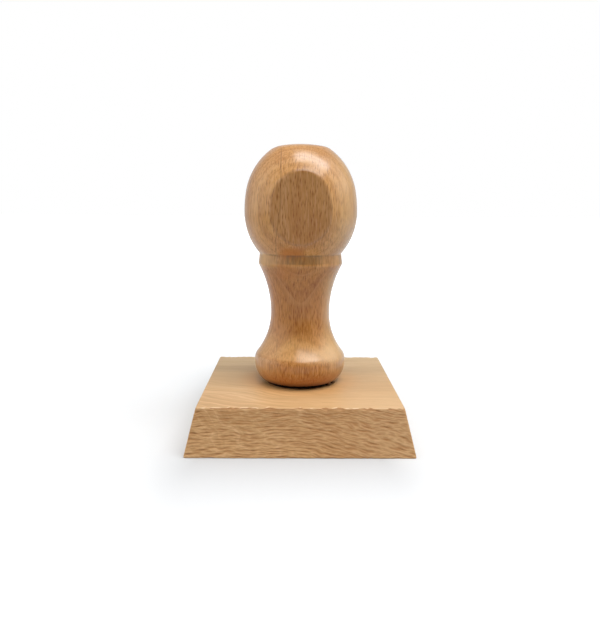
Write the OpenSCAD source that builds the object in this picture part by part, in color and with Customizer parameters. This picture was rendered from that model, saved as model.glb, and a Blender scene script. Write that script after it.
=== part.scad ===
// Wooden hand-stamp mount: a turned beech handle, glued and screwed to a square bevelled block.
// Millimetres. The origin is the centre of the block's underside and +Z is up. The flat on the
// knob, which tells the hand where the front is, faces -Y.

/* [Block] */
// Side of the square underside
block_w = 60; // [45:0.5:90]
// Thickness of the block
block_t = 12.4; // [9:0.1:20]
// How far each sloping side leans in between underside and top
block_lean = 3; // [0.5:0.1:6]

/* [Handle] */
// Overall height of the handle: the neck above the waist takes up a change
handle_h = 67.9; // [60:0.1:90]

/* [Handle foot] */
// Diameter of the flat face that is glued to the block
contact_d = 20.3; // [14:0.1:24]
// Largest diameter of the foot
foot_d = 26.6; // [22:0.1:36]
// Height of the foot's rounded underside, up to the largest diameter
foot_h = 5.9; // [4:0.1:9]
// Height of the straight land at the largest diameter
foot_land = 0.8; // [0.2:0.1:3]
// Radius of the shoulder above the land
shoulder_r = 3.3; // [1:0.1:5]

/* [Handle neck] */
// Smallest diameter of the neck
waist_d = 17.1; // [12:0.1:20]
// Height from the foot's land up to the waist
waist_rise = 13.9; // [8:0.1:18]
// Diameter of the band under the knob
band_d = 24.1; // [21:0.1:28]
// Radius of the band's lower edge
band_edge_r = 1.4; // [0.5:0.1:3]
// Height of the band, up to the crease below the knob
band_h = 2.7; // [1.5:0.1:5]

/* [Handle knob] */
// Diameter at the bottom of the crease between band and knob
crease_d = 23.5; // [20:0.1:26]
// Largest diameter of the knob
knob_d = 32; // [29:0.1:40]
// Height from the crease up to the largest diameter
knob_under_h = 11.5; // [8:0.1:16]
// Radius of the belly, just above the largest diameter
belly_r = 35; // [25:0.5:60]
// Angle through which the belly turns before the crown begins
belly_turn = 9.5; // [4:0.5:14]
// Height from the largest diameter up to the rim of the top
crown_h = 17.85; // [15:0.05:24]
// Diameter of the flatter top
top_d = 15.1; // [8:0.1:18]
// Rise of the top's dome above its rim
dome_h = 0.85; // [0.3:0.05:3]
// Depth of the flat on the front of the knob
flat_depth = 2.1; // [0.5:0.1:3.5]

/* [Screw] */
// Outer diameter of the thread
screw_d = 4; // [3:0.1:5]
// Overall length
screw_len = 35; // [28:0.5:50]
// Diameter of the plain shank under the head
shank_d = 2.9; // [2.6:0.1:4]
// Length of the plain shank
shank_len = 10; // [4:0.5:14]
// Diameter of the core between the threads
core_d = 2.5; // [1.8:0.1:2.9]
// Pitch of the thread
pitch = 1.8; // [1.2:0.1:2.4]
// Length of the pointed tip
tip_len = 4; // [2:0.5:6]
// Diameter of the countersunk head
head_d = 8; // [6:0.1:10]
// Height of the head's straight rim
head_rim = 0.4; // [0.2:0.1:1]
// How deep the head lies below the underside
head_sink = 0.3; // [0.1:0.1:1]
// Span of the cross recess
recess_span = 4.4; // [3:0.1:5]
// Width of each slot of the cross recess
recess_w = 1.1; // [0.6:0.1:1.4]
// Depth of the cross recess
recess_depth = 1.9; // [1:0.1:2.4]

/* [Fits] */
// Thickness of the glue between foot and block
glue_t = 0.1; // [0.05:0.05:0.5]
// How far the glue is squeezed out past the contact face
glue_spread = 0.4; // [0.1:0.1:1]
// Radial room of the thread in the block's drilled hole
shank_gap = 0.2; // [0.1:0.05:0.5]
// Radial room of the head in its countersink
seat_gap = 0.05; // [0.02:0.01:0.2]
// Radial room of the thread in the handle, where the cut wood is modelled as a plain bore
thread_gap = 0.05; // [0.02:0.01:0.2]
// Room ahead of the screw's tip
tip_gap = 1; // [0.5:0.1:3]

/* [Hidden] */
$fn = 96;

// Segments in each round stretch of the turned profile
arc_steps = 14;
// How far a cut reaches past the face it opens
over = 1;
// Sides of the screw's rings, rings in one pitch, and rings on the tip
screw_sides = 18;
pitch_steps = 6;
tip_steps = 10;
// Share of a pitch that the thread's ridge takes up
ridge_share = 0.45;
// Radius of the blunt end of the tip
tip_r = 0.1;
// Included angle of the drill that made the handle's bore
drill_angle = 118;

contact_r = contact_d / 2;
foot_r = foot_d / 2;
waist_r = waist_d / 2;
band_r = band_d / 2;
crease_r = crease_d / 2;
knob_r = knob_d / 2;
top_r = top_d / 2;

// Heights above the handle's contact face
land_z = foot_h + foot_land;
waist_z = land_z + waist_rise;
rim_z = handle_h - dome_h;
knob_z = rim_z - crown_h;
crease_z = knob_z - knob_under_h;
band_z = crease_z - band_h;

// Heights above the block's underside, and places along the screw from the face of its head
handle_base_z = block_t + glue_t;
head_h = head_rim + (head_d - shank_d) / 2;
thread_start = head_h + shank_len;
tip_start = screw_len - tip_len;
bore_top = head_sink + screw_len + tip_gap - handle_base_z;
hole_r = screw_d / 2 + shank_gap;
bore_r = screw_d / 2 + thread_gap;
seat_r = head_d / 2 + seat_gap;

// Points along an arc about centre c, between two angles. A negative radius gives the opposite side.
function arc(c, r, from, to) =
    [for (i = [0:arc_steps]) let (a = from + (to - from) * i / arc_steps) c + r * [cos(a), sin(a)]];

// Radius of an arc that is upright at one end and has moved in by inset at the height rise
function bulge_r(inset, rise) = (inset * inset + rise * rise) / (2 * inset);

// Rounded underside that swells from radius r_in at height z_in to its largest radius r_out at z_out
function swell(r_in, z_in, r_out, z_out) =
    let (r = bulge_r(r_out - r_in, z_out - z_in), c = [r_out - r, z_out])
    arc(c, r, atan2(z_in - z_out, r_in - c.x), 0);

// Convex edge of radius edge_r at [r_out, z_edge], running without a corner into a cove that is
// upright at the waist. Listed from the edge to the waist.
function edge_and_cove(r_out, z_edge, edge_r) =
    let (
        cove_r = bulge_r(r_out - waist_r, waist_z - z_edge) - edge_r,
        edge_c = [r_out - edge_r, z_edge],
        cove_c = [waist_r + cove_r, waist_z],
        turn = atan2(cove_c.y - edge_c.y, cove_c.x - edge_c.x)
    )
    concat(
        arc(edge_c, edge_r, 0, turn),
        arc(cove_c, -cove_r, turn, 0)
    );

// Knob above its largest diameter: the belly, then a crown that leaves it without a corner and
// ends at the rim of the top
function belly_and_crown() =
    let (
        out = [cos(belly_turn), sin(belly_turn)],
        belly_c = [knob_r - belly_r, knob_z],
        join = belly_c + belly_r * out,
        rim = [top_r, rim_z],
        crown_r = -((rim - join) * (rim - join)) / (2 * (out * (rim - join))),
        crown_c = join - crown_r * out
    )
    concat(
        arc(belly_c, belly_r, 0, belly_turn),
        arc(crown_c, crown_r, belly_turn, atan2(rim.y - crown_c.y, rim.x - crown_c.x))
    );

// Shallow dome from the rim of the top to the axis
function dome() =
    let (r = bulge_r(dome_h, top_r), c = [0, handle_h - r])
    arc(c, r, atan2(rim_z - c.y, top_r), 90);

function reversed(list) = [for (i = [len(list) - 1:-1:0]) list[i]];

// Half section of the turned handle, from the contact face up
function handle_profile() = concat(
    [[0, 0]],
    swell(contact_r, 0, foot_r, foot_h),
    edge_and_cove(foot_r, land_z, shoulder_r),
    reversed(edge_and_cove(band_r, band_z, band_edge_r)),
    swell(crease_r, crease_z, knob_r, knob_z),
    belly_and_crown(),
    dome()
);

module turned_handle() {
    rotate_extrude() polygon(handle_profile());
}

// Everything in front of the knob's flat, from the crease up
module front_of_flat() {
    translate([-knob_r - over, -knob_r - over, crease_z])
        cube([knob_d + 2 * over, flat_depth + over, handle_h]);
}

// Blind bore with a drill point, where the screw's thread holds
module screw_bore() {
    point_h = bore_r / tan(drill_angle / 2);
    rotate_extrude()
        polygon([[0, -over], [bore_r, -over], [bore_r, bore_top], [0, bore_top + point_h]]);
}

module handle() {
    color("#d6a672") translate([0, 0, handle_base_z]) difference() {
        turned_handle();
        front_of_flat();
        screw_bore();
    }
}

// Bar of the block's trapezoid section, as long as the block is wide
module bevelled_bar() {
    half = block_w / 2;
    rotate([90, 0, 0]) linear_extrude(block_w, center = true)
        polygon([[-half, 0], [half, 0], [half - block_lean, block_t], [block_lean - half, block_t]]);
}

// Through hole with a countersink that opens at the underside
module screw_hole() {
    seat_z = head_sink + head_rim;
    rotate_extrude() polygon([
        [0, -over], [seat_r, -over], [seat_r, seat_z],
        [hole_r, seat_z + seat_r - hole_r], [hole_r, block_t + over], [0, block_t + over]
    ]);
}

module base_block() {
    color("#dcb080") difference() {
        intersection() {
            bevelled_bar();
            rotate([0, 0, 90]) bevelled_bar();
        }
        screw_hole();
    }
}

// Thin ring of dried glue round the screw, squeezed out a little past the contact face
module glue_line() {
    color("#e6dcc0") translate([0, 0, block_t]) difference() {
        cylinder(r = contact_r + glue_spread, h = glue_t);
        translate([0, 0, -over]) cylinder(r = hole_r, h = glue_t + 2 * over);
    }
}

// Height of the thread's ridge, 0 to 1, at height z and a share of the way round
function ridge(z, share) =
    let (phase = z / pitch - share, off = abs(phase - floor(phase) - 0.5))
    max(0, 1 - 2 * off / ridge_share);

// One ring of the screw's surface: a circle of radius r with the thread standing out by depth
function screw_ring(z, r, depth) = [
    for (i = [0:screw_sides - 1])
        let (a = 360 * i / screw_sides, rr = r + depth * ridge(z, i / screw_sides))
        [rr * cos(a), rr * sin(a), z]
];

// Rings of the whole screw from the face of its head to its tip
function screw_rings() =
    let (
        depth = (screw_d - core_d) / 2,
        thread_len = tip_start - thread_start,
        steps = ceil(thread_len / pitch * pitch_steps)
    )
    concat(
        [screw_ring(0, head_d / 2, 0), screw_ring(head_rim, head_d / 2, 0)],
        [screw_ring(head_h, shank_d / 2, 0), screw_ring(thread_start, shank_d / 2, 0)],
        [for (k = [1:steps])
            screw_ring(thread_start + thread_len * k / steps, core_d / 2, depth * min(1, k / pitch_steps))],
        [for (k = [1:tip_steps])
            let (left = 1 - k / tip_steps)
            screw_ring(screw_len - tip_len * left, max(tip_r, core_d / 2 * left), depth * left)]
    );

// Closed solid through rings of equal length, with flat ends
module skin(rings) {
    n = len(rings[0]);
    last = len(rings) - 1;
    sides = [
        for (k = [0:last - 1], i = [0:n - 1])
            let (j = (i + 1) % n, a = k * n, b = a + n)
            each [[a + i, b + i, b + j], [a + i, b + j, a + j]]
    ];
    ends = [[for (i = [0:n - 1]) i], [for (i = [n - 1:-1:0]) last * n + i]];
    polyhedron([for (ring = rings) each ring], concat(sides, ends));
}

module cross_recess() {
    for (turn = [0, 90])
        rotate([0, 0, turn]) translate([-recess_span / 2, -recess_w / 2, -over])
            cube([recess_span, recess_w, recess_depth + over]);
}

// Countersunk wood screw, driven upwards through the block into the handle
module fixing_screw() {
    color("#b9bcc0") translate([0, 0, head_sink]) difference() {
        skin(screw_rings());
        cross_recess();
    }
}

base_block();
glue_line();
handle();
fixing_screw();
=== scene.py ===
"""Looks of a wooden hand-stamp mount: a turned beech handle, glued and screwed to a bevelled block.

Metres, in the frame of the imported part: the origin is the centre of the block's underside, +Z is up
and the flat on the knob faces -Y. Colours are linear red, green and blue.
"""
import math

import bpy
import numpy as np
from mathutils import Matrix, Vector


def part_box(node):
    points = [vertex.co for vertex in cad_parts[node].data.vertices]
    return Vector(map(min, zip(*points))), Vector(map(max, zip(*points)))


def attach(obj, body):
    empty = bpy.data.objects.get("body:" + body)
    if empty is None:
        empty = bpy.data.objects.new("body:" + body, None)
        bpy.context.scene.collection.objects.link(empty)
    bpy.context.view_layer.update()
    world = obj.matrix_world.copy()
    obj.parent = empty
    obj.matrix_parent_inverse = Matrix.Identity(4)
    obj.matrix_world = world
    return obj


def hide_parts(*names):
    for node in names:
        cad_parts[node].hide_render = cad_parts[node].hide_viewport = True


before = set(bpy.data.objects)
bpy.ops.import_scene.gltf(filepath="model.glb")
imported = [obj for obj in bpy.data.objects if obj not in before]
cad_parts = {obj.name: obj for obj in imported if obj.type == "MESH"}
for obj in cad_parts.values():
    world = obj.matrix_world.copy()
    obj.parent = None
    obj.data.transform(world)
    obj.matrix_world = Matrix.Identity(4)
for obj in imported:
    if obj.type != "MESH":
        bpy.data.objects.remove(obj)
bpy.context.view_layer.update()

# Base block
# A square of beech with its grain from left to right. Its top is planed and sanded, its four sides are
# sawn to a slope and left rough, which tore the edges along the grain. A countersunk hole takes the screw.
MM = 0.001
_, block_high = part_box("base_block")
block_half = block_high.x
block_top = block_high.z
block_lean = 3 * MM
seat_r = 4.05 * MM
seat_z = 0.7 * MM
hole_r = 2.2 * MM
arris_ease = 0.16 * MM
edge_ease = 0.5 * MM
edge_wander = 0.2 * MM
grain_bite = 0.78 * MM
end_bite = 0.12 * MM
scar_depth = 0.1 * MM
on_plane = 0.01 * MM


def clustered(n, power):
    """n + 1 numbers from 0 to 1 that lie closer together near both ends: with t going evenly from -1 to 1,
    a number is half of (1 - |t|) to the power away from its nearer end."""
    t = np.linspace(-1, 1, n + 1)
    return 0.5 + 0.5 * np.sign(t) * (1 - (1 - np.abs(t)) ** power)


def noise(u, v, seed):
    """Smooth random value from -1 to 1 at each (u, v): random numbers on a unit lattice that repeats
    every 64 steps, blended between lattice points with the weight 3t2 - 2t3."""
    table = np.random.default_rng(seed).uniform(-1, 1, (64, 64))
    i = np.floor(u).astype(int)
    j = np.floor(v).astype(int)
    a = u - i
    b = v - j
    a = a * a * (3 - 2 * a)
    b = b * b * (3 - 2 * b)
    near = table[i % 64, j % 64] * (1 - a) + table[(i + 1) % 64, j % 64] * a
    far = table[i % 64, (j + 1) % 64] * (1 - a) + table[(i + 1) % 64, (j + 1) % 64] * a
    return near * (1 - b) + far * b


def smooth_step(low, high, value):
    """0 on low's side, 1 on high's side and 3t2 - 2t3 between them."""
    t = np.clip((value - low) / (high - low), 0, 1)
    return t * t * (3 - 2 * t)


def grid_piece(name, points, ring=False):
    """Closed mesh through a grid of points, rows by columns. Columns close on themselves. With ring,
    the last row joins the first; otherwise the first and last rows shrink to one point each."""
    rows, columns = points.shape[:2]
    index = np.arange(rows * columns).reshape(rows, columns)
    beside = np.roll(index, -1, axis=1)
    lower, upper = (index, np.roll(index, -1, axis=0)) if ring else (index[:-1], index[1:])
    lower_b, upper_b = (beside, np.roll(beside, -1, axis=0)) if ring else (beside[:-1], beside[1:])
    faces = np.stack([lower, lower_b, upper_b, upper], -1).reshape(-1, 4).tolist()
    vertices = points.reshape(-1, 3)
    if not ring:
        first = np.full(columns, rows * columns)
        vertices = np.vstack([vertices, points[0].mean(0), points[-1].mean(0)])
        faces += np.stack([beside[0], index[0], first], -1).tolist()
        faces += np.stack([index[-1], beside[-1], first + 1], -1).tolist()
    mesh = bpy.data.meshes.new(name)
    mesh.from_pydata(vertices.tolist(), [], faces)
    mesh.shade_smooth()
    piece = bpy.data.objects.new(name, mesh)
    bpy.context.scene.collection.objects.link(piece)
    return piece


def add_shares(piece, **shares):
    """Writes a number from 0 to 1 for each point of a piece, under the name that its finish reads."""
    for name, values in shares.items():
        attribute = piece.data.attributes.new(name, "FLOAT", "POINT")
        attribute.data.foreach_set("value", values.astype(np.float32))


def square_loop(long_steps, short_steps):
    """Points round a square of half-size 1, anticlockwise from above and closer together near the corners:
    the front and back sides have long_steps, the end-grain sides short_steps."""
    a = 2 * clustered(long_steps, 1.15)[:-1] - 1
    b = 2 * clustered(short_steps, 1.6)[:-1] - 1
    front = np.stack([a, -np.ones_like(a)], -1)
    right = np.stack([np.ones_like(b), b], -1)
    return np.vstack([front, right, -front, -right])


def level_row(outline, height):
    """A flat outline as a row of points at a height."""
    return np.c_[outline, np.full(len(outline), height)]


def block_surface(square, top_rows, side_rows, under_rows):
    """Rows of the sharp-edged block: circle at the top of the hole, out to the square top edge, down the
    sloping sides, in along the underside to the countersink and up the hole again. A row is the mix of a
    square and a circle, each of its own half-size. The rows are handed on in reverse, so that the faces
    look outwards."""
    circle = square / np.linalg.norm(square, axis=1, keepdims=True)
    top_half = block_half - block_lean
    seat_top = seat_z + seat_r - hole_r
    out = 1 - (1 - np.linspace(0, 1, top_rows)) ** 3
    down = clustered(side_rows, 1.25)[1:]
    inwards = np.linspace(0, 1, under_rows)[1:] ** 2
    rows = [level_row((1 - t) * hole_r * circle + t * top_half * square, block_top) for t in out]
    rows += [level_row((top_half + block_lean * t) * square, block_top * (1 - t)) for t in down]
    rows += [level_row((1 - t) * block_half * square + t * seat_r * circle, 0.0) for t in inwards]
    rows += [level_row(seat_r * circle, seat_z), level_row(hole_r * circle, seat_top)]
    return np.array(rows[::-1])


def block_faces():
    """Outward normals and offsets of the block's front, right, back, left, top and bottom planes."""
    slope = math.hypot(block_lean, block_top)
    out = block_top / slope
    up = block_lean / slope
    normals = np.array([[0, -out, up], [out, 0, up], [0, out, up], [-out, 0, up], [0, 0, 1], [0, 0, -1]])
    corner = np.array([block_half, block_half, 0])
    offsets = np.abs(normals) @ corner
    offsets[4:] = block_top, 0
    return normals, offsets


def spindles(u, v, seed, wide, tall):
    """Depth from 0 to 1 of ray scars, one in each unit cell of (u, v), with every other row moved by half
    a cell. A scar is 1 - d2 of an ellipse of half-axes wide and tall, with its place, size and strength
    jittered."""
    jitter = np.random.default_rng(seed).uniform(-1, 1, (64, 64, 3))
    depth = np.zeros_like(u)
    for row_step, column_step in np.ndindex(3, 3):
        row = np.floor(v).astype(int) + row_step - 1
        shifted = u + 0.5 * (row % 2)
        column = np.floor(shifted).astype(int) + column_step - 1
        side, height, size = np.moveaxis(jitter[column % 64, row % 64], -1, 0)
        a = (shifted - column - 0.5 - 0.35 * side) / (wide * (1 + 0.35 * size))
        b = (v - row - 0.5 - 0.3 * height) / (tall * (1 + 0.2 * size))
        depth = np.maximum(depth, np.clip(1 - a * a - b * b, 0, 1) * (0.75 + 0.3 * size))
    return depth


def ray_scars(along, up, seed):
    """Scars of the rays on a face that is sawn along the grain, in millimetres: rows of spindles 2.6 long
    and 0.84 apart, with finer ones among them, that wave a little on the left and run downhill to the
    right, more steeply near the bottom."""
    right = np.maximum(along + 3, 0)
    downhill = 0.15 * right ** 2 / (right + 6) + 0.011 * right * np.maximum(9 - up, 0)
    wave = 0.45 * noise(along / 6, up / 3, seed) + 0.16 * noise(along / 1.7, up / 1.3, seed + 1)
    drift = 0.25 * noise(along / 5, up / 2, seed + 2)
    height = up + downhill + wave
    scars = spindles(along / 2.6 + drift, height / 0.84, seed + 3, 0.66, 0.27)
    fine = spindles(along / 1.7 - drift, height / 0.47, seed + 5, 0.6, 0.32)
    return np.maximum(scars, 0.65 * fine) + 0.12 * noise(along / 1.1, up / 0.3, seed + 4)


def saw_marks(along, up, seed):
    """Saw marks across end grain, in millimetres: slanting grooves 1.1 apart whose depth comes and goes."""
    wander = 0.35 * noise(along / 9, up / 4, seed)
    groove = 0.5 + 0.5 * np.sin(2 * np.pi * (up + 0.12 * along + wander) / 1.1)
    return 0.5 * groove ** 2 * (0.5 + 0.5 * noise(along / 12, up / 2.5, seed + 1))


def torn_fringe(along, back, bite, lane):
    """Two shares of a point on the top, at a distance back from an edge that is bitten by a depth: 1 within
    the bite, with a soft border, and how far it is in the strip of pale, specked fibre behind the bite."""
    blur = 0.12 * MM
    speck = smooth_step(0.1, 0.9, noise(along / 0.9, lane + 3.1, 41))
    chip = smooth_step(bite + blur, bite - blur, back)
    strip = smooth_step(bite - blur, bite + blur, back)
    strip = strip * smooth_step(bite + 1.1 * MM, bite + 0.3 * MM, back)
    return chip, (0.42 + 0.5 * speck) * strip


def shape_block(points):
    """Eases and tears the edges and cuts the scars and saw marks into the sides.
    An edge between two planes is eased by width k: a point at distance d from it sinks by k / 4 times
    (1 - d / k) squared along the mean of the two normals. Round the top, k follows bites, a noise along
    the edge that is deep along the grain and shallow at the end grain. Returns the moved points and, for
    the finish, how deep each is in a scar or bite, how much it is torn fibre and whether it is sawn."""
    normals, offsets = block_faces()
    top = 4
    bottom = 5
    p = points.reshape(-1, 3)
    depth = np.maximum(offsets - p @ normals.T, 0)
    outside = np.hypot(p[:, 0], p[:, 1]) > 2 * seat_r
    on_top = (depth[:, top] < on_plane) & outside
    moved = p.copy()
    arris, chip, relief, sawn = np.zeros((4, len(p)))
    sides = range(4)
    edges = [(i, top) for i in sides] + [(i, bottom) for i in sides] + [(i, (i + 1) % 4) for i in sides]
    for i, j in edges:
        along = p @ np.cross(normals[i], normals[j]) / MM
        lane = np.full_like(along, i)
        rough = 0.9 * noise(along / 2.4, lane + 7.3 * j, 31) + 0.6 * noise(along / 0.8, lane, 37)
        torn = smooth_step(-0.3, 1.0, rough)
        bite = (grain_bite, end_bite)[i % 2] * torn
        k = arris_ease + bite if j == top else edge_ease + edge_wander * torn
        d = np.maximum(depth[:, i], depth[:, j])
        sink = k / 4 * np.clip(1 - d / k, 0, 1) ** 2 * outside
        moved -= sink[:, None] * (normals[i] + normals[j]) / (1 + normals[i] @ normals[j])
        if j == top:
            bitten, fibre = torn_fringe(along, depth[:, i], bite, lane)
            chip = np.maximum(chip, bitten * on_top)
            arris = np.maximum(arris, (1, 0.2)[i % 2] * fibre * on_top)
    cuts = ((0, ray_scars, 11), (1, saw_marks, 13), (2, ray_scars, 17), (3, saw_marks, 19))
    for i, pattern, seed in cuts:
        on_face = (depth[:, i] < on_plane) & outside
        margin = np.delete(depth, i, axis=1).min(1) / MM
        cut = pattern(p[:, i % 2] / MM, p[:, 2] / MM, seed) * on_face * smooth_step(0.0, 0.15, margin)
        relief = relief + cut
        sawn = np.maximum(sawn, on_face)
        moved -= scar_depth * cut[:, None] * normals[i]
    return moved.reshape(points.shape), np.maximum(relief, chip), arris, np.maximum(sawn, chip)


block_loop = square_loop(long_steps=312, short_steps=52)
sharp_block = block_surface(block_loop, top_rows=20, side_rows=104, under_rows=6)
block_points, block_relief, block_arris, block_sawn = shape_block(sharp_block)
base_block = grid_piece("base_block_wood", block_points, ring=True)
add_shares(base_block, relief=block_relief, arris=block_arris, sawn=block_sawn)


def add_node(tree, kind, inputs=None, **settings):
    """New node in a tree. A socket given as an input is linked, and any other value is set."""
    node = tree.nodes.new(kind)
    for key, value in settings.items():
        setattr(node, key, value)
    for key, value in (inputs or {}).items():
        if isinstance(value, bpy.types.NodeSocket):
            tree.links.new(value, node.inputs[key])
        else:
            node.inputs[key].default_value = value
    return node


def math_node(tree, operation, *values):
    """Result of a Math node on one, two or three values."""
    return add_node(tree, "ShaderNodeMath", dict(enumerate(values)), operation=operation).outputs[0]


def vector_node(tree, operation, *values, output=0):
    """Result of a Vector Math node: a vector, or with output 1 a number such as a length."""
    node = add_node(tree, "ShaderNodeVectorMath", dict(enumerate(values)), operation=operation)
    return node.outputs[output]


def axes(tree, vector):
    """The three numbers of a vector."""
    return add_node(tree, "ShaderNodeSeparateXYZ", {"Vector": vector}).outputs


def flat_vector(tree, x, y):
    """Vector of two numbers and a zero."""
    return add_node(tree, "ShaderNodeCombineXYZ", {"X": x, "Y": y}).outputs[0]


def share(tree, name):
    """The number that a piece holds for each point under a name."""
    return add_node(tree, "ShaderNodeAttribute", attribute_name=name).outputs["Fac"]


def ramp(tree, value, low, high, to_low=0.0, to_high=1.0):
    """Smooth change of a value from to_low at low to to_high at high."""
    inputs = {"Value": value, "From Min": low, "From Max": high, "To Min": to_low, "To Max": to_high}
    return add_node(tree, "ShaderNodeMapRange", inputs, interpolation_type="SMOOTHSTEP").outputs["Result"]


def window(tree, value, middle, reach, soft, most=1.0):
    """Mask that is at its most while a value is within reach of the middle, and falls to 0 over the soft
    distance beyond."""
    off = math_node(tree, "ABSOLUTE", math_node(tree, "SUBTRACT", value, middle))
    return ramp(tree, off, reach + soft, reach, 0.0, most)


def both(tree, mask, *others):
    """Masks multiplied together."""
    for other in others:
        mask = math_node(tree, "MULTIPLY", mask, other)
    return mask


def lay(tree, colour, mask, paint, blend="MIX"):
    """A colour with a paint laid over it as far as the mask says. Each is a socket or red, green, blue."""
    under, over = [(*c, 1) if isinstance(c, tuple) else c for c in (colour, paint)]
    inputs = {0: mask, 6: under, 7: over}
    return add_node(tree, "ShaderNodeMix", inputs, data_type="RGBA", blend_type=blend).outputs[2]


def tint(tree, colour, mask, factor):
    """A colour multiplied by a factor for red, green and blue, as far as the mask says."""
    return lay(tree, colour, mask, factor, "MULTIPLY")


def stretched(tree, vector, x, y, z):
    """The vector with each axis divided by a length."""
    return vector_node(tree, "MULTIPLY", vector, (1 / x, 1 / y, 1 / z))


def noise_node(tree, vector, detail=2.0, roughness=0.5):
    """Noise from 0 to 1, one cell to a unit of the vector."""
    inputs = {"Vector": vector, "Scale": 1.0, "Detail": detail, "Roughness": roughness}
    return add_node(tree, "ShaderNodeTexNoise", inputs).outputs["Fac"]


def beech_group():
    """Solid beech in three dimensions. The vector is in millimetres: X across the rays, Y along the
    radius of the tree, Z along the grain. Growth rings are bands of noise by the distance from a far
    pith. Rays are thin ribbons: short spindles seen from the bark, flecks seen from the side and lines
    on end grain. The whole is bent by a slow sway."""
    group = bpy.data.node_groups.new("beech", "ShaderNodeTree")
    sockets = group.interface
    sockets.new_socket("Vector", in_out="INPUT", socket_type="NodeSocketVector")
    for name, value in (("Ring Width", 1.0), ("Ray Width", 0.5), ("Ray Length", 2.3), ("Sway", 3.0)):
        sockets.new_socket(name, in_out="INPUT", socket_type="NodeSocketFloat").default_value = value
    for name in ("Rings", "Rays", "Fibres", "Clouds"):
        sockets.new_socket(name, in_out="OUTPUT", socket_type="NodeSocketFloat")
    given = add_node(group, "NodeGroupInput").outputs
    vector = given["Vector"]

    slow = stretched(group, vector, 24, 24, 80)
    sway = add_node(group, "ShaderNodeTexNoise", {"Vector": slow, "Scale": 1.0}).outputs["Color"]
    shift = vector_node(group, "SUBTRACT", sway, (0.5, 0.5, 0.5))
    shift = add_node(group, "ShaderNodeVectorMath", {0: shift, "Scale": given["Sway"]}, operation="SCALE")
    bent = vector_node(group, "ADD", vector, shift.outputs[0])
    bent_x, _, bent_z = axes(group, bent)

    pith = (3, 70, 0)
    section = vector_node(group, "MULTIPLY", bent, (1, 1, 0))
    from_pith = vector_node(group, "DISTANCE", section, pith, output=1)
    ring = math_node(group, "DIVIDE", from_pith, given["Ring Width"])
    rings = noise_node(group, flat_vector(group, ring, math_node(group, "DIVIDE", bent_z, 70.0)), 2.0, 0.6)

    across = math_node(group, "DIVIDE", bent_x, given["Ray Width"])
    along = math_node(group, "DIVIDE", bent_z, given["Ray Length"])
    cell_inputs = {"Vector": flat_vector(group, across, along), "Scale": 1.0, "Randomness": 1.0}
    cells = add_node(group, "ShaderNodeTexVoronoi", cell_inputs, distance="MANHATTAN",
                     voronoi_dimensions="2D")
    chance = add_node(group, "ShaderNodeSeparateColor", {"Color": cells.outputs["Color"]}).outputs[0]
    reach = math_node(group, "MULTIPLY_ADD", chance, 0.4, 0.2)
    inside = math_node(group, "DIVIDE", cells.outputs["Distance"], reach)
    rays = both(group, ramp(group, inside, 1.0, 0.35), ramp(group, chance, -0.2, 1.0))

    fibres = noise_node(group, stretched(group, bent, 0.34, 0.5, 4.5), 3.0, 0.65)
    clouds = noise_node(group, stretched(group, bent, 9, 9, 30), 3.0, 0.55)
    add_node(group, "NodeGroupOutput", {"Rings": rings, "Rays": rays, "Fibres": fibres, "Clouds": clouds})
    return group


beech = beech_group()


def beech_coordinates(tree, turn, shift):
    """Object coordinates as the beech group wants them: turned, in millimetres and then shifted."""
    place = add_node(tree, "ShaderNodeTexCoord").outputs["Object"]
    inputs = {"Vector": place, "Rotation": turn, "Scale": (1 / MM,) * 3, "Location": shift}
    return add_node(tree, "ShaderNodeMapping", inputs).outputs[0]


def new_material(name):
    """Empty node material with its tree and Principled shader."""
    material = bpy.data.materials.new(name)
    material.use_nodes = True
    tree = material.node_tree
    return material, tree, tree.nodes["Principled BSDF"]


def planed_colour(tree, vector, wood):
    """The block's own wood, as planed: clouds, rings, streaks and fibres."""
    planed = (0.716, 0.469, 0.242)
    clouded = (0.671, 0.427, 0.206)
    early_wood = (0.788, 0.57, 0.329)
    late_wood = (0.471, 0.266, 0.11)
    streaked = (0.49, 0.286, 0.128)
    streaks = noise_node(tree, stretched(tree, vector, 1.4, 1.4, 24), 3.0, 0.6)
    colour = lay(tree, planed, ramp(tree, wood["Clouds"], 0.3, 0.7), clouded)
    colour = lay(tree, colour, ramp(tree, wood["Rings"], 0.47, 0.36, 0, 0.3), early_wood)
    colour = lay(tree, colour, ramp(tree, wood["Rings"], 0.53, 0.66, 0, 0.25), late_wood)
    colour = lay(tree, colour, ramp(tree, streaks, 0.48, 0.68, 0, 0.3), streaked)
    return lay(tree, colour, ramp(tree, wood["Fibres"], 0.46, 0.68, 0, 0.3), late_wood)


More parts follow.
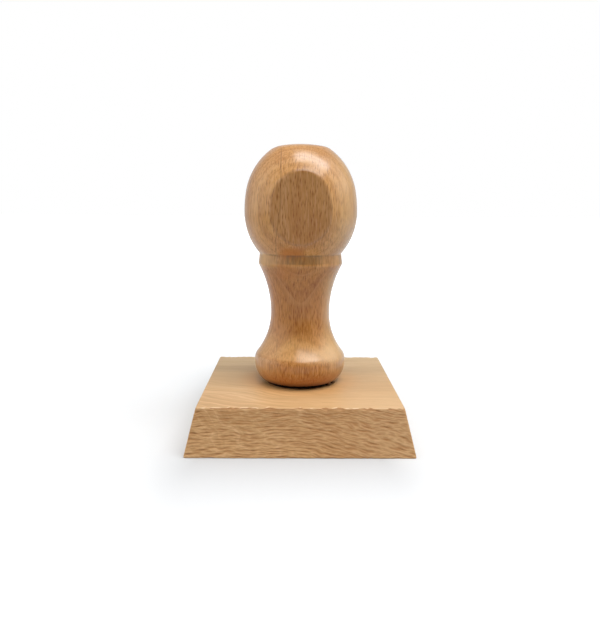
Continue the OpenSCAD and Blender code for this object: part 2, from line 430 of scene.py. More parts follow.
def top_colour(tree, vector, colour):
    """What the top shows in places: a brown band at the back, a warm patch at the left that is painted
    light where the handle's shadow falls, ring lines that sweep across the front left, a pale front right
    corner, a painted sheen that leaves the front warm and the back cool and pale, a back left corner
    lightened by painted light in the handle's shadow, and warm painted bounce light in the shade round
    the foot. Depth runs to the back, with a ripple, and along runs to the right."""
    brown_band = (0.453, 0.266, 0.128)
    painted_fill_patch = (0.88, 0.58, 0.28)
    pale_line = (0.9, 0.66, 0.4)
    dark_line = (0.52, 0.3, 0.13)
    pale_corner = (0.85, 0.66, 0.42)
    painted_sheen_front = (0.95, 0.87, 0.78)
    painted_sheen_back = (0.85, 0.92, 1.01)
    painted_light_back_left = (1.08, 1.09, 1.08)
    painted_bounce_warmth = (1.06, 0.92, 0.7)

    _, depth, along = axes(tree, vector)
    ripple = noise_node(tree, stretched(tree, vector, 9, 9, 22), 2.0)
    depth = math_node(tree, "MULTIPLY_ADD", ripple, 9.0, depth)
    colour = lay(tree, colour, window(tree, depth, 15.5, 1.5, 5.0, 0.3), brown_band)
    # Painted light: this warm patch lightens the top left of the foot, where the handle's shadow falls.
    patch = both(tree, window(tree, depth, 1.0, 8.0, 8.0), ramp(tree, along, 4.0, -14.0, 0.05, 0.6))
    colour = lay(tree, colour, patch, painted_fill_patch)

    sweep = math_node(tree, "MULTIPLY_ADD", along, 0.34, depth)
    sweep = noise_node(tree, flat_vector(tree, sweep, math_node(tree, "DIVIDE", along, 40.0)), 2.0, 0.6)
    left = both(tree, ramp(tree, along, 6.0, -10.0, 0.25, 1.0), ramp(tree, depth, 6.0, -10.0, 0.15, 1.0))
    colour = lay(tree, colour, both(tree, left, ramp(tree, sweep, 0.5, 0.64, 0, 0.5)), pale_line)
    colour = lay(tree, colour, both(tree, left, ramp(tree, sweep, 0.46, 0.34, 0, 0.45)), dark_line)

    front_right = both(tree, ramp(tree, along, 6.0, 24.0, 0, 0.25), ramp(tree, depth, 0.0, -12.0))
    colour = lay(tree, colour, front_right, pale_corner)
    # Painted sheen: the top turns cooler and paler towards the back, where it is seen at a grazing angle,
    # and warmer in front.
    shade = lay(tree, painted_sheen_front, ramp(tree, depth, -16.0, 26.0), painted_sheen_back)
    colour = tint(tree, colour, 1.0, shade)
    # Painted light: the back left of the top is lightened where the handle's shadow falls.
    lit_back_left = both(tree, ramp(tree, along, -4.0, -18.0), ramp(tree, depth, 6.0, 18.0))
    colour = tint(tree, colour, lit_back_left, painted_light_back_left)
    # Painted bounce light: the shade round the foot is warmed, as light thrown back from the wood would
    # warm it.
    from_axis = vector_node(tree, "LENGTH", vector_node(tree, "MULTIPLY", vector, (0, 1, 1)), output=1)
    return tint(tree, colour, ramp(tree, from_axis, 20.0, 12.5), painted_bounce_warmth)


def sawn_colour(tree, vector, colour, sawn):
    """The sawn sides: duller and a little greyer towards the top right, scars and bites darker the deeper
    they are, as the rays' own colour and as painted shade in the hollows, paler ground between them that
    is partly painted light on the crests, painted light that lifts the sides, more at the left, and pale
    torn fibre behind the bites, brightened further as a painted highlight."""
    low_tone = (0.83, 0.83, 0.85)
    high_tone = (0.714, 0.697, 0.697)
    lit_ridge = (0.744, 0.524, 0.303)
    scar_and_shade = (0.357, 0.166, 0.0595)
    deep_scar_and_shade = (0.2, 0.09, 0.033)
    painted_light_left_side = (1.37, 1.37, 1.36)
    painted_light_right_side = (1.32, 1.26, 1.19)
    torn_fibre_highlight = (0.9, 0.7, 0.45)

    relief = share(tree, "relief")
    up, _, along = axes(tree, vector)
    slant = math_node(tree, "MULTIPLY_ADD", along, 0.16, math_node(tree, "ABSOLUTE", up))
    colour = tint(tree, colour, sawn, lay(tree, low_tone, ramp(tree, slant, -2.0, 12.0), high_tone))
    # Scars are darker partly as the rays' own colour and partly as painted shade in their hollows; the
    # ground between them is paler partly as painted light on the crests.
    colour = lay(tree, colour, ramp(tree, relief, 0.06, -0.1, 0, 0.55), lit_ridge)
    colour = lay(tree, colour, ramp(tree, relief, 0.0, 0.8, 0, 0.7), scar_and_shade)
    colour = lay(tree, colour, ramp(tree, relief, 0.8, 1.0, 0, 0.6), deep_scar_and_shade)
    # Painted light: the sawn sides are lifted brighter than their wood, more at the left than at the right.
    colour = tint(tree, colour, sawn, lay(tree, painted_light_left_side, ramp(tree, along, -26.0, 26.0), painted_light_right_side))
    # Pale torn fibre behind the bites, brightened further as a painted highlight along the front edge.
    return lay(tree, colour, ramp(tree, share(tree, "arris"), 0.2, 0.8, 0, 0.8), torn_fibre_highlight)


def block_beech():
    """Pale beech without varnish: a faint sheen on the planed top, and dull sawn sides. The places of its
    marks are in millimetres."""
    material, tree, shader = new_material("block_beech")
    vector = beech_coordinates(tree, (0, math.radians(-90), 0), (0, 0, 0))
    wood = add_node(tree, "ShaderNodeGroup", {"Vector": vector, "Ring Width": 2.2, "Ray Width": 1.1,
                                              "Ray Length": 3.6, "Sway": 5.0}, node_tree=beech).outputs
    sawn = share(tree, "sawn")
    colour = planed_colour(tree, vector, wood)
    colour = top_colour(tree, vector, colour)
    colour = sawn_colour(tree, vector, colour, sawn)
    tree.links.new(colour, shader.inputs["Base Color"])
    tree.links.new(ramp(tree, sawn, 0, 1, 0.42, 0.65), shader.inputs["Roughness"])
    shader.inputs["Specular IOR Level"].default_value = 0.35
    height = math_node(tree, "ADD", wood["Fibres"], math_node(tree, "MULTIPLY", wood["Rays"], 0.4))
    bump = add_node(tree, "ShaderNodeBump", {"Height": height, "Strength": 0.25, "Distance": 0.05 * MM})
    tree.links.new(bump.outputs[0], shader.inputs["Normal"])
    return material


base_block.data.materials.append(block_beech())
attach(base_block, "root")
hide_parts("base_block")

# Glue line
# Dried wood glue between the handle's foot and the block. It was pressed out past the contact face
# into a thin bead, with two cream crumbs left at the right front. The bead is coloured almost black
# as painted shade, so that it reads as the dark gap in shadow under the foot.
glue_low, glue_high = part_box("glue_line")
glue_r = glue_high.x
bead_inset = 0.45 * MM
bead_rise = 0.78 * MM
bead_round = 0.3 * MM
crumb_out = 1.1 * MM
crumb_angles = (-22, -37)
crumb_width = 2.2


def glue_surface(columns):
    """Ring whose section is a flat strip with a half-round rim, set back under the foot. Its rim wanders by
    noise and swells by a bell curve at each crumb. Returns the points and the crumb share of each."""
    angle = np.linspace(0, 2 * np.pi, columns, endpoint=False)
    crumb = np.zeros(columns)
    for place in crumb_angles:
        crumb += np.exp(-((np.degrees(angle) - place % 360) / crumb_width) ** 2)
    rim = glue_r - bead_inset + 0.1 * MM * noise(angle * 6, angle * 0, 5) + crumb_out * crumb
    tall = glue_high.z - glue_low.z + bead_rise + 0.1 * MM * crumb
    turn = np.linspace(-0.5, 0.5, 9) * np.pi
    rows = [(np.full(columns, hole_r), np.full(columns, glue_low.z))]
    rows += [(rim - bead_round * (1 - np.cos(t)), glue_low.z + tall * (0.5 + 0.5 * np.sin(t)))
             for t in turn]
    rows += [(np.full(columns, glue_r - 3 * MM), np.full(columns, glue_high.z))]
    rows += [(np.full(columns, hole_r), np.full(columns, glue_high.z))]
    points = np.array([np.stack([r * np.cos(angle), r * np.sin(angle), z], -1) for r, z in rows])
    return points, np.tile(crumb, len(rows))


def dried_glue():
    """Dull glue, coloured almost black as painted shade for the dark gap under the foot, and cream on
    the crumbs.
    """
    painted_shade_black = (0.01, 0.003, 0.001)
    brown = (0.022, 0.008, 0.003)
    cream = (0.85, 0.62, 0.42)
    spot_size = 0.9 * MM
    material, tree, shader = new_material("dried_glue")
    place = add_node(tree, "ShaderNodeTexCoord").outputs["Object"]
    spots = noise_node(tree, stretched(tree, place, spot_size, spot_size, spot_size), 3.0)
    crumb = both(tree, ramp(tree, share(tree, "crumb"), 0.2, 0.6), ramp(tree, spots, 0.4, 0.62, 0.25, 1.0))
    # Painted shade: the two near-black tones below make the bead read as the shadowed gap under the foot.
    colour = lay(tree, painted_shade_black, ramp(tree, spots, 0.35, 0.65), brown)
    colour = lay(tree, colour, crumb, cream)
    tree.links.new(colour, shader.inputs["Base Color"])
    tree.links.new(ramp(tree, spots, 0.3, 0.7, 0.8, 0.6), shader.inputs["Roughness"])
    shader.inputs["Specular IOR Level"].default_value = 0.1
    return material


glue_points, glue_crumb = glue_surface(columns=360)
glue = grid_piece("glue_bead", glue_points, ring=True)
add_shares(glue, crumb=glue_crumb)
glue.data.materials.append(dried_glue())
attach(glue, "root")
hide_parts("glue_line")

# Handle
# One piece of beech, turned on a lathe with the grain upright: a rounded foot, a waisted neck, a band
# with a crease above it, and a knob. A flat is sanded on the front of the knob and the whole handle
# is lacquered to a satin shine. The screw holds in a blind bore in the foot.
handle_low, handle_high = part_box("handle")
contact_r = 10.15 * MM
undercut = 1.5 * MM
undercut_h = 0.9 * MM
foot_r = 13.3 * MM
foot_h = 5.9 * MM
foot_land = 0.8 * MM
shoulder_r = 3.3 * MM
waist_r = 8.55 * MM
waist_rise = 13.9 * MM
band_r = 12.05 * MM
band_edge_r = 1.4 * MM
band_h = 2.7 * MM
crease_r = 11.75 * MM
knob_r = 16 * MM
knob_under_h = 11.5 * MM
belly_r = 35 * MM
belly_turn = math.radians(9.5)
crown_h = 17.85 * MM
rim_r = 7.55 * MM
dome_h = 0.85 * MM
flat_y = 13.9 * MM
flat_ease = 0.16 * MM
rim_ease_mean = 0.55 * MM
rim_ease_swing = 0.15 * MM
lathe_wander = 0.025 * MM
bore_r = 2.05 * MM
bore_top = 23.8 * MM
crease_z = handle_high.z - dome_h - crown_h - knob_under_h


def arc(centre, radius, start, end, steps):
    """Points on a circle about a centre, from one angle to another, the last one left out."""
    a = np.linspace(start, end, steps, endpoint=False)
    return np.stack([centre[0] + radius * np.cos(a), centre[1] + radius * np.sin(a)], -1)


def bulge_radius(inset, rise):
    """Radius of an arc that is upright at one end and has moved in by inset after rising by rise."""
    return (inset ** 2 + rise ** 2) / (2 * inset)


def swell(r_in, z_in, r_out, z_out, steps):
    """Rounded underside from (r_in, z_in) to its widest point (r_out, z_out), an arc that ends upright."""
    radius = bulge_radius(r_out - r_in, z_out - z_in)
    return arc((r_out - radius, z_out), radius, math.atan2(z_in - z_out, r_in - r_out + radius), 0, steps)


def edge_and_cove(r_out, z_edge, edge_r, waist_z, edge_steps, cove_steps):
    """Arc of a rounded edge and arc of the hollow that leads from it to the waist. They meet without a
    corner."""
    cove_r = bulge_radius(r_out - waist_r, waist_z - z_edge) - edge_r
    edge_c = (r_out - edge_r, z_edge)
    cove_c = (waist_r + cove_r, waist_z)
    turn = math.atan2(cove_c[1] - edge_c[1], cove_c[0] - edge_c[0])
    return np.vstack([arc(edge_c, edge_r, 0, turn, edge_steps), arc(cove_c, -cove_r, turn, 0, cove_steps)])


def handle_profile():
    """Half section (radius, height above the foot) from the top of the bore to the top of the dome: a
    straight bore, contact face and slot, then arcs for foot, edge, neck, knob, belly, crown and dome."""
    top_z = handle_high.z - handle_low.z
    land_z = foot_h + foot_land
    waist_z = land_z + waist_rise
    rim_z = top_z - dome_h
    knob_z = rim_z - crown_h
    under_z = knob_z - knob_under_h
    band_z = under_z - band_h
    bore = np.array([[0.3 * MM, bore_top + MM], [bore_r, bore_top],
                     [bore_r, 0.2 * MM], [bore_r + 0.2 * MM, 0]])
    contact = np.stack([np.linspace(bore_r + MM, contact_r - undercut, 6), np.zeros(6)], -1)
    slot = np.array([[contact_r - undercut, 0.5 * undercut_h], [contact_r - 0.9 * undercut, undercut_h],
                     [contact_r - 0.3 * MM, undercut_h]])
    foot = swell(contact_r, 0, foot_r, foot_h, 40)
    foot = foot[foot[:, 1] > undercut_h + 0.1 * MM]
    upper_neck = edge_and_cove(band_r, band_z, band_edge_r, waist_z, 14, 52)[::-1]
    band = np.stack([np.linspace(band_r, crease_r, 8), np.linspace(band_z, under_z, 8)], -1)[1:-1]
    out = np.array([math.cos(belly_turn), math.sin(belly_turn)])
    join = np.array([knob_r - belly_r, knob_z]) + belly_r * out
    rim = np.array([rim_r, rim_z])
    crown_r = -((rim - join) @ (rim - join)) / (2 * (out @ (rim - join)))
    crown_c = join - crown_r * out
    crown_end = math.atan2(rim[1] - crown_c[1], rim[0] - crown_c[0])
    dome_r = bulge_radius(dome_h, rim_r)
    dome_c = (0, top_z - dome_r)
    return np.vstack([
        bore, contact, slot, foot,
        edge_and_cove(foot_r, land_z, shoulder_r, waist_z, 18, 56),
        upper_neck, band,
        swell(crease_r, under_z, knob_r, knob_z, 52),
        arc((knob_r - belly_r, knob_z), belly_r, 0, belly_turn, 24),
        arc(crown_c, crown_r, belly_turn, crown_end, 60),
        arc(dome_c, dome_r, math.atan2(rim_z - dome_c[1], rim_r), math.radians(89), 18),
    ])


def handle_surface(columns):
    """The profile turned about the axis, with a slight wander of the lathe. Columns lie closer together at
    the front. The rim of the dome is eased as the block's edges are, more at the left than at the right,
    and sinks along its mean normal. The front of the knob is cut to a plane by a smooth minimum, so the
    flat's edge is eased too."""
    crowding = 0.45
    rim_bend_sine = 0.64
    rim_out = 0.62
    rim_up = 0.78
    t = np.linspace(0, 2 * np.pi, columns, endpoint=False)
    angle = t - crowding * np.sin(t) - np.pi / 2
    profile = handle_profile()
    r = profile[:, :1]
    z = profile[:, 1:] + handle_low.z + 0 * angle
    wander = noise(angle * 3 + 0 * z, z / (6 * MM), 3) * smooth_step(contact_r, foot_r, r)
    rim_ease = rim_ease_mean - rim_ease_swing * np.cos(angle)
    rim_d = rim_bend_sine * np.hypot(r - rim_r, z - (handle_high.z - dome_h))
    sink = rim_ease / 4 * np.clip(1 - rim_d / rim_ease, 0, 1) ** 2
    r = r + lathe_wander * wander - rim_out * sink
    z = z - rim_up * sink
    x = r * np.cos(angle)
    y = r * np.sin(angle)
    near = np.clip(1 - np.abs(-y - flat_y) / flat_ease, 0, 1)
    cut = np.minimum(-y, flat_y) - near ** 2 * flat_ease / 4
    y = np.where(z > crease_z, -cut, y)
    return np.stack([x, y, z], -1)


def turned_colour(tree, vector, wood, facing):
    """The handle's own wood: clouds, rings and fibres, short dark rays where the bark side faces out, one
    dark vein beside the flat, and on the upper neck a darker heart and pale lines that meet in a V."""
    clear = (0.726, 0.362, 0.105)
    clouded = (0.642, 0.287, 0.0754)
    early_wood = (0.83, 0.463, 0.18)
    late_wood = (0.518, 0.211, 0.0519)
    pale_fibre = (0.83, 0.472, 0.198)
    dark_fibre = (0.415, 0.171, 0.0473)
    ray_brown = (0.34, 0.11, 0.02)
    vein_brown = (0.228, 0.0855, 0.0283)
    heart_brown = (0.415, 0.162, 0.0378)

    colour = lay(tree, clear, ramp(tree, wood["Clouds"], 0.35, 0.75), clouded)
    colour = lay(tree, colour, ramp(tree, wood["Rings"], 0.48, 0.4, 0, 0.4), early_wood)
    colour = lay(tree, colour, ramp(tree, wood["Rings"], 0.52, 0.6, 0, 0.45), late_wood)
    colour = lay(tree, colour, ramp(tree, wood["Fibres"], 0.5, 0.36, 0, 0.45), pale_fibre)
    colour = lay(tree, colour, ramp(tree, wood["Fibres"], 0.5, 0.66, 0, 0.55), dark_fibre)
    bark_side = ramp(tree, math_node(tree, "ABSOLUTE", axes(tree, facing)[1]), 0.45, 0.9, 0.15, 0.72)
    colour = lay(tree, colour, both(tree, wood["Rays"], bark_side), ray_brown)

    x, y, z = axes(tree, vector)
    wobble = noise_node(tree, stretched(tree, vector, 40, 40, 4), 2.0)
    vein_x = math_node(tree, "MULTIPLY_ADD", wobble, 0.6, ramp(tree, z, 66.0, 54.0, -5.7, -7.0))
    vein = window(tree, math_node(tree, "SUBTRACT", x, vein_x), 0.0, 0.07, 0.17)
    vein = both(tree, vein, ramp(tree, z, 53.0, 68.0, 0.2, 0.42), ramp(tree, y, -6.0, -8.0))
    colour = lay(tree, colour, vein, vein_brown)

    drift = noise_node(tree, stretched(tree, vector, 5, 40, 12), 2.0)
    heart = window(tree, math_node(tree, "MULTIPLY_ADD", drift, 1.2, y), -7.6, 0.5, 0.8, 0.08)
    colour = lay(tree, colour, both(tree, heart, window(tree, z, 41.0, 4.0, 6.5)), heart_brown)
    lines = ramp(tree, noise_node(tree, stretched(tree, vector, 60, 0.4, 90), 2.0, 0.6), 0.52, 0.66, 0, 0.5)
    lines = both(tree, lines, window(tree, z, 41.5, 3.0, 4.0), ramp(tree, y, -7.6, -8.4))
    return lay(tree, colour, lines, pale_fibre)


def knob_colour(tree, vector, facing, colour):
    """Tones of the knob and the neck: end grain on the crown that is darker, partly as painted shade on the
    up-facing top, a paler right side, a flat darkened as painted shade, and a handle darker and redder
    below the band."""
    left_crown_shade = (0.84, 0.82, 0.83)
    right_crown_shade = (0.79, 0.78, 0.82)
    pale_right = (0.7, 0.48, 0.235)
    painted_shade_flat = (0.78, 0.77, 0.9)
    darker_lower_handle = (0.79, 0.67, 0.5)
    x, y, z = axes(tree, vector)
    # End grain on the up-facing crown, darker partly as its own tone and partly as painted shade that dims
    # the top.
    end_grain_and_shade = both(tree, ramp(tree, axes(tree, facing)[2], 0.15, 0.75), ramp(tree, z, 55.0, 62.0))
    crown = lay(tree, left_crown_shade, ramp(tree, x, -6.0, 4.0), right_crown_shade)
    colour = tint(tree, colour, end_grain_and_shade, crown)
    colour = lay(tree, colour, ramp(tree, x, 5.0, 14.0, 0, 0.35), pale_right)
    # Painted shade: the flat, which faces the dim front and gets little light, is darkened.
    flat = both(tree, ramp(tree, y, -13.3, -13.7), ramp(tree, z, 47.0, 57.0, 0.3, 1.0))
    colour = tint(tree, colour, flat, painted_shade_flat)
    # Below the band the handle is darker and redder.
    return tint(tree, colour, ramp(tree, z, 51.0, 43.5), darker_lower_handle)


def foot_colour(tree, vector, colour):
    """The foot and the lower neck, by height above the foot's underside: a pale tongue of figure on the
    shoulder up to a ragged line, lifted whiter as a painted highlight, pale sides, fine upright threads
    round the side, a red-brown lower half that deepens into painted shade on the underside, and a slot
    painted dark as shade."""
    painted_highlight_lift = (1.2, 1.3, 1.45)
    pale_figure_highlight = (0.855, 0.522, 0.223)
    rim_factor = (1.06, 1.06, 1.06)
    pale_shoulder_highlight = (0.85, 0.58, 0.33)
    pale_side = (0.85, 0.58, 0.28)
    pale_flank = (0.85, 0.55, 0.22)
    pale_thread = (0.855, 0.494, 0.19)
    dark_thread = (0.323, 0.123, 0.0285)
    red_brown_and_shade = (0.38, 0.128, 0.019)
    painted_contact_shade = (0.104, 0.038, 0.0095)
    painted_slot_shade = (0.0311, 0.0122, 0.0038)
    slot_h = undercut_h / MM

    x, _, z = axes(tree, vector)
    up = math_node(tree, "SUBTRACT", z, handle_low.z / MM)
    drift = noise_node(tree, stretched(tree, vector, 5, 40, 12), 2.0)
    ragged = math_node(tree, "MULTIPLY_ADD", drift, -5.0, math_node(tree, "ADD", up, 2.5))
    # The pale tongue of figure on the shoulder is lifted whiter here as a painted highlight.
    pale_tongue_highlight = both(tree, ramp(tree, ragged, 17.0, 11.0), ramp(tree, up, 8.3, 9.1))
    colour = tint(tree, colour, pale_tongue_highlight, painted_highlight_lift)
    colour = lay(tree, colour, both(tree, pale_tongue_highlight, 0.3), pale_figure_highlight)
    rim = both(tree, ramp(tree, up, 9.1, 8.3), ramp(tree, up, 4.5, 8.0))
    colour = tint(tree, colour, rim, rim_factor)
    # Paler shoulder at the right, partly figure and partly a painted highlight.
    shoulder = both(tree, ramp(tree, up, 13.0, 10.0), ramp(tree, up, 6.5, 8.8),
                    ramp(tree, x, -3.0, 5.0, 0.0, 0.42))
    colour = lay(tree, colour, shoulder, pale_shoulder_highlight)
    off_middle = math_node(tree, "ABSOLUTE", x)
    outer = both(tree, ramp(tree, up, 9.0, 8.0), ramp(tree, off_middle, 4.0, 11.0, 0.0, 0.3))
    colour = lay(tree, colour, outer, pale_side)
    flank = both(tree, ramp(tree, x, 5.0, 8.5, 0.0, 0.35), window(tree, up, 20.5, 9.0, 5.0))
    colour = lay(tree, colour, flank, pale_flank)

    threads = noise_node(tree, stretched(tree, vector, 0.26, 0.26, 5.0), 3.0, 0.65)
    side = both(tree, ramp(tree, up, 9.1, 7.7), ramp(tree, up, 1.2, 2.8))
    colour = lay(tree, colour, both(tree, ramp(tree, threads, 0.47, 0.36, 0, 0.4), side), pale_thread)
    colour = lay(tree, colour, both(tree, ramp(tree, threads, 0.54, 0.68, 0, 0.45), side), dark_thread)
    # The lower foot turns red-brown, partly its tone and partly painted shade on the underside, and almost
    # black near the contact as painted shade.
    colour = lay(tree, colour, ramp(tree, up, 6.5, 1.5, 0, 0.75), red_brown_and_shade)
    colour = lay(tree, colour, ramp(tree, up, 2.6, 0.8, 0, 0.75), painted_contact_shade)
    # Painted shade: the slot under the foot is coloured almost black.
    return lay(tree, colour, ramp(tree, up, slot_h + 0.15, slot_h, 0, 0.92), painted_slot_shade)


def band_colour(tree, vector, colour):
    """Round the band, by height above the crease: red stains above and below it at the left, smeared grime
    on its front that is darker also as painted shade under the knob, a front left side lightened by
    painted light, a crease darkened by grime and painted shade, and a lower edge painted pale as a
    highlight, partly thinned lacquer."""
    upper_stain = (0.56, 0.19, 0.04)
    lower_stain = (0.56, 0.2, 0.045)
    grime_and_shade_brown = (0.281, 0.145, 0.0566)
    band_painted_light_left = (0.85, 0.54, 0.21)
    crease_grime_and_shade = (0.166, 0.0705, 0.0236)
    edge_highlight_pale = (0.83, 0.503, 0.227)

    x, y, z = axes(tree, vector)
    up = math_node(tree, "SUBTRACT", z, crease_z / MM)
    stain = both(tree, window(tree, x, -2.4, 1.6, 2.8), window(tree, up, 0.6, 0.6, 1.8),
                 ramp(tree, y, -6.0, -9.0, 0, 0.8))
    colour = lay(tree, colour, stain, upper_stain)
    stain = both(tree, window(tree, x, -4.2, 1.5, 2.6), window(tree, up, -4.6, 1.2, 1.4),
                 ramp(tree, y, -6.0, -9.0, 0, 0.4))
    colour = lay(tree, colour, stain, lower_stain)
    smears = noise_node(tree, stretched(tree, vector, 0.35, 0.35, 20), 2.0)
    patches = noise_node(tree, stretched(tree, vector, 2.6, 2.6, 30), 1.0)
    # Smeared grime on the band's front, darker also as painted shade under the knob's overhang.
    grime_and_shade = both(tree, ramp(tree, smears, 0.3, 0.65, 0.4, 1.0), ramp(tree, patches, 0.3, 0.6, 0.5, 1.0),
                window(tree, up, -1.1, 1.0, 0.4), ramp(tree, y, -6.0, -11.0, 0.05, 0.75),
                ramp(tree, x, -7.0, -3.5, 0.35, 1.0))
    colour = lay(tree, colour, grime_and_shade, grime_and_shade_brown)
    # Painted light: the band's front left is lightened.
    left = both(tree, window(tree, up, -1.6, 1.5, 1.2), ramp(tree, x, -5.0, -10.0, 0.0, 0.35),
                ramp(tree, y, 4.0, -1.0))
    colour = lay(tree, colour, left, band_painted_light_left)
    # The crease is darkened partly as grime and partly as painted shade in the inside corner.
    crease = both(tree, window(tree, up, 0.0, 0.1, 0.25), ramp(tree, patches, 0.4, 0.65, 0.0, 0.3))
    colour = lay(tree, colour, crease, crease_grime_and_shade)
    # Painted highlight: a pale line along the band's rounded lower edge, partly thinned lacquer.
    pale_edge_highlight = both(tree, window(tree, up, -2.75, 0.15, 0.3), ramp(tree, x, -6.0, -2.0, 0.0, 0.06))
    return lay(tree, colour, pale_edge_highlight, edge_highlight_pale)


def handle_beech():
    """Warmer beech under a clear satin lacquer, which is the shader's coat. The places of its marks are in
    millimetres."""
    material, tree, shader = new_material("handle_beech")
    vector = beech_coordinates(tree, (0, 0, 0), (0, 0.15, 0))
    facing = add_node(tree, "ShaderNodeTexCoord").outputs["Normal"]
    wood = add_node(tree, "ShaderNodeGroup", {"Vector": vector, "Ring Width": 1.1, "Ray Width": 0.44,
                                              "Ray Length": 2.6, "Sway": 3.0}, node_tree=beech).outputs
    colour = turned_colour(tree, vector, wood, facing)
    colour = knob_colour(tree, vector, facing, colour)
    colour = foot_colour(tree, vector, colour)
    colour = band_colour(tree, vector, colour)
    tree.links.new(colour, shader.inputs["Base Color"])
    tree.links.new(ramp(tree, wood["Fibres"], 0.3, 0.7, 0.3, 0.4), shader.inputs["Roughness"])
    shader.inputs["Specular IOR Level"].default_value = 0.05
    shader.inputs["Coat Weight"].default_value = 1.0
    shader.inputs["Coat Roughness"].default_value = 0.24
    shader.inputs["Coat IOR"].default_value = 1.6
    grain = {"Height": wood["Fibres"], "Strength": 0.3, "Distance": 0.03 * MM}
    bump = add_node(tree, "ShaderNodeBump", grain)
    tree.links.new(bump.outputs[0], shader.inputs["Normal"])
    return material


handle = grid_piece("handle_wood", handle_surface(columns=248))
handle.data.materials.append(handle_beech())
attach(handle, "root")
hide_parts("handle")

# Fixing screw
# A zinc-plated countersunk wood screw, driven upwards through the block into the handle. Only its
# head shows, and only from below.
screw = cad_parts["fixing_screw"]


def zinc_steel():
    """Dull zinc plating with blotches of a little blue and yellow in it."""
    bluish = (0.55, 0.57, 0.6)
    yellowish = (0.62, 0.6, 0.53)
    blotch_size = 1.5 * MM
    material, tree, shader = new_material("zinc_steel")
    place = add_node(tree, "ShaderNodeTexCoord").outputs["Object"]
    blotches = noise_node(tree, stretched(tree, place, blotch_size, blotch_size, blotch_size), 3.0)
    colour = lay(tree, bluish, ramp(tree, blotches, 0.35, 0.65), yellowish)
    tree.links.new(colour, shader.inputs["Base Color"])
    tree.links.new(ramp(tree, blotches, 0.3, 0.7, 0.32, 0.45), shader.inputs["Roughness"])
    shader.inputs["Metallic"].default_value = 1.0
    return material


screw.data.materials.clear()
screw.data.materials.append(zinc_steel())

# Table and light
# A white table that runs into a white surround. A long soft lamp hangs above at the right and another
# in front of it, four broad and weaker ones fill in, and the surround is brightest at the left.
table_reach = 3.0
corners = [(-1, -1), (1, -1), (1, 1), (-1, 1)]
table_mesh = bpy.data.meshes.new("table")
table_mesh.from_pydata([(table_reach * x, table_reach * y, 0) for x, y in corners], [], [(0, 1, 2, 3)])
table = bpy.data.objects.new("table", table_mesh)
bpy.context.scene.collection.objects.link(table)


def mirror_ray(tree, seen):
    """1 for a ray that left a glossy or clear surface, as Light Path tells."""
    return math_node(tree, "MAXIMUM", seen["Is Glossy Ray"], seen["Is Transmission Ray"])


def table_white():
    """White board that keeps its shadow near the part. Further off it shines as bright as the surround, for
    what looks at it and not for what it lights, so that no horizon shows. The shine grows with the distance
    from a box a little to the left of the block's middle, and then with that from the part."""
    shade_middle = -2.5 * MM
    shade_half = 23.5 * MM
    shade_fade = (8 * MM, 18 * MM, 1)
    shade_steep = 0.62
    least_glow = 0.15
    near_glow = 0.38
    far_glow = 0.6
    mirror_glow = 0.35
    material, tree, shader = new_material("table_white")
    shader.inputs["Base Color"].default_value = (0.5, 0.515, 0.53, 1)
    shader.inputs["Roughness"].default_value = 0.8
    shader.inputs["Specular IOR Level"].default_value = 0.1
    shader.inputs["Emission Color"].default_value = (1, 0.99, 0.98, 1)
    seen = add_node(tree, "ShaderNodeLightPath").outputs
    place = add_node(tree, "ShaderNodeTexCoord").outputs["Object"]
    away = vector_node(tree, "LENGTH", place, output=1)
    past = vector_node(tree, "ABSOLUTE", vector_node(tree, "SUBTRACT", place, (shade_middle, 0, 0)))
    past = vector_node(tree, "SUBTRACT", past, (shade_half, block_half, 0))
    past = vector_node(tree, "MAXIMUM", past, (0, 0, 0))
    past = vector_node(tree, "LENGTH", vector_node(tree, "DIVIDE", past, shade_fade), output=1)
    # Painted shadow: the shine is least near the box, so the floor stays grey round the block like a soft
    # shadow.
    near = math_node(tree, "TANH", math_node(tree, "MULTIPLY", past, shade_steep))
    glow = math_node(tree, "MULTIPLY_ADD", near, near_glow, least_glow)
    glow = math_node(tree, "ADD", glow, ramp(tree, away, 0.06, 0.22, 0.0, far_glow))
    behind = ramp(tree, axes(tree, place)[1], -0.1, 0.1)
    mirrored = both(tree, mirror_ray(tree, seen), behind, mirror_glow)
    direct = math_node(tree, "MAXIMUM", seen["Is Camera Ray"], mirrored)
    tree.links.new(both(tree, direct, glow), shader.inputs["Emission Strength"])
    return material


table_mesh.materials.append(table_white())


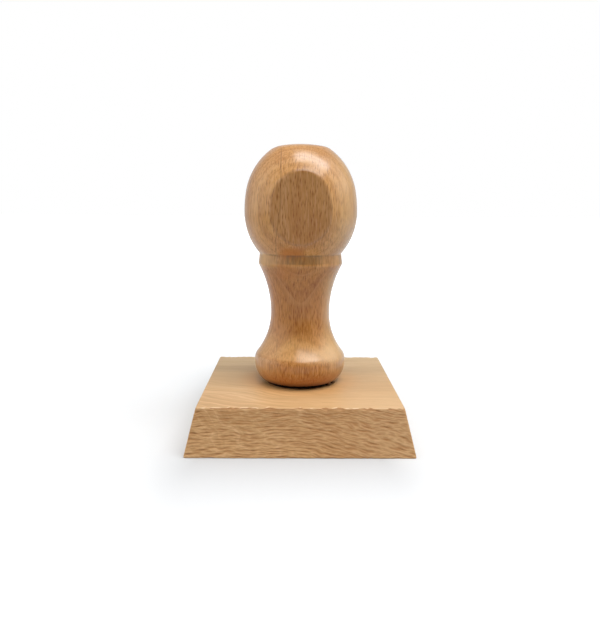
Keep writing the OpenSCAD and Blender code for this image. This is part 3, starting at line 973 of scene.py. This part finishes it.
def white_surround():
    """World that is white to the camera. What it lights gets a level for each of the six sides, mixed by
    the square of the direction's component on that axis. Mirror rays see a little less of that level, and
    at the back and the right at least a bright wall."""
    left = 1.36
    right = 0.15
    front = 0.1
    back = 0.05
    below = 0.2
    above = 0.0
    mirror_loss = 0.25
    world = bpy.data.worlds.new("surround")
    world.use_nodes = True
    tree = world.node_tree
    seen = add_node(tree, "ShaderNodeLightPath").outputs
    direction = axes(tree, add_node(tree, "ShaderNodeTexCoord").outputs["Generated"])
    lit = 0.0
    for component, low_side, high_side in zip(direction, (left, front, below), (right, back, above)):
        positive = math_node(tree, "GREATER_THAN", component, 0.0)
        level = math_node(tree, "MULTIPLY_ADD", positive, high_side - low_side, low_side)
        lit = math_node(tree, "MULTIPLY_ADD", math_node(tree, "MULTIPLY", component, component), level, lit)
    mirror = mirror_ray(tree, seen)
    lit = math_node(tree, "MULTIPLY", lit, math_node(tree, "MULTIPLY_ADD", mirror, -mirror_loss, 1.0))
    x, y, _ = direction
    wall = math_node(tree, "MAXIMUM", ramp(tree, y, 0.3, 0.9, 0.0, 0.6), ramp(tree, x, 0.5, 0.95, 0.0, 0.7))
    shown = math_node(tree, "MAXIMUM", seen["Is Camera Ray"], both(tree, mirror, wall))
    background = tree.nodes["Background"]
    background.inputs["Color"].default_value = (1, 1, 1, 1)
    tree.links.new(math_node(tree, "MAXIMUM", lit, shown), background.inputs["Strength"])
    return world


bpy.context.scene.world = white_surround()


def soft_lamp(name, place, aim, width, depth, power):
    """Rectangular lamp at a place, facing a point."""
    lamp = bpy.data.lights.new(name, "AREA")
    lamp.shape = "RECTANGLE"
    lamp.size = width
    lamp.size_y = depth
    lamp.energy = power
    holder = bpy.data.objects.new(name, lamp)
    bpy.context.scene.collection.objects.link(holder)
    holder.location = place
    holder.rotation_euler = (Vector(aim) - Vector(place)).to_track_quat("-Z", "Y").to_euler()


soft_lamp("key", (0.145, -0.035, 0.46), (0.145, -0.035, 0.0), 0.42, 0.15, 1.28)
soft_lamp("overhead", (0.08, -0.03, 0.47), (0.08, -0.03, 0.0), 0.6, 0.46, 0.32)
soft_lamp("strip", (0.14, -0.27, 0.46), (0, 0, 0.03), 0.44, 0.18, 0.94)
soft_lamp("right", (0.5, 0.06, 0.4), (0, 0, 0.04), 0.5, 0.5, 0.6)
soft_lamp("canopy", (0.0, -0.04, 0.5), (0, 0, 0.04), 0.9, 0.9, 0.2)
soft_lamp("left", (-0.32, 0, 0.36), (0, 0, 0.04), 0.36, 0.36, 0.08)

# Camera
# Placed as the photograph was taken: from the front, a little above, with a slight lean and turn.
# Its lens gives the photograph's focal length in pixels over the picture's longer side.
photo_h = 639
focal_px = 606.3
distance = 175.6 * MM
eye_h = 63.9 * MM
pitch = math.radians(10.74)
lean = math.radians(0.40)
yaw = math.radians(0.54)
lens = bpy.data.cameras.new("camera")
lens.sensor_width = 36
lens.lens = focal_px / photo_h * lens.sensor_width
lens.clip_start = 0.01
camera = bpy.data.objects.new("camera", lens)
bpy.context.scene.collection.objects.link(camera)
stand = Matrix.Rotation(-yaw, 4, "Z") @ Matrix.Translation((0, -distance, eye_h))
camera.matrix_world = stand @ Matrix.Rotation(math.pi / 2 - pitch, 4, "X") @ Matrix.Rotation(lean, 4, "Z")
bpy.context.scene.camera = camera
bpy.context.scene.view_settings.view_transform = "Standard"
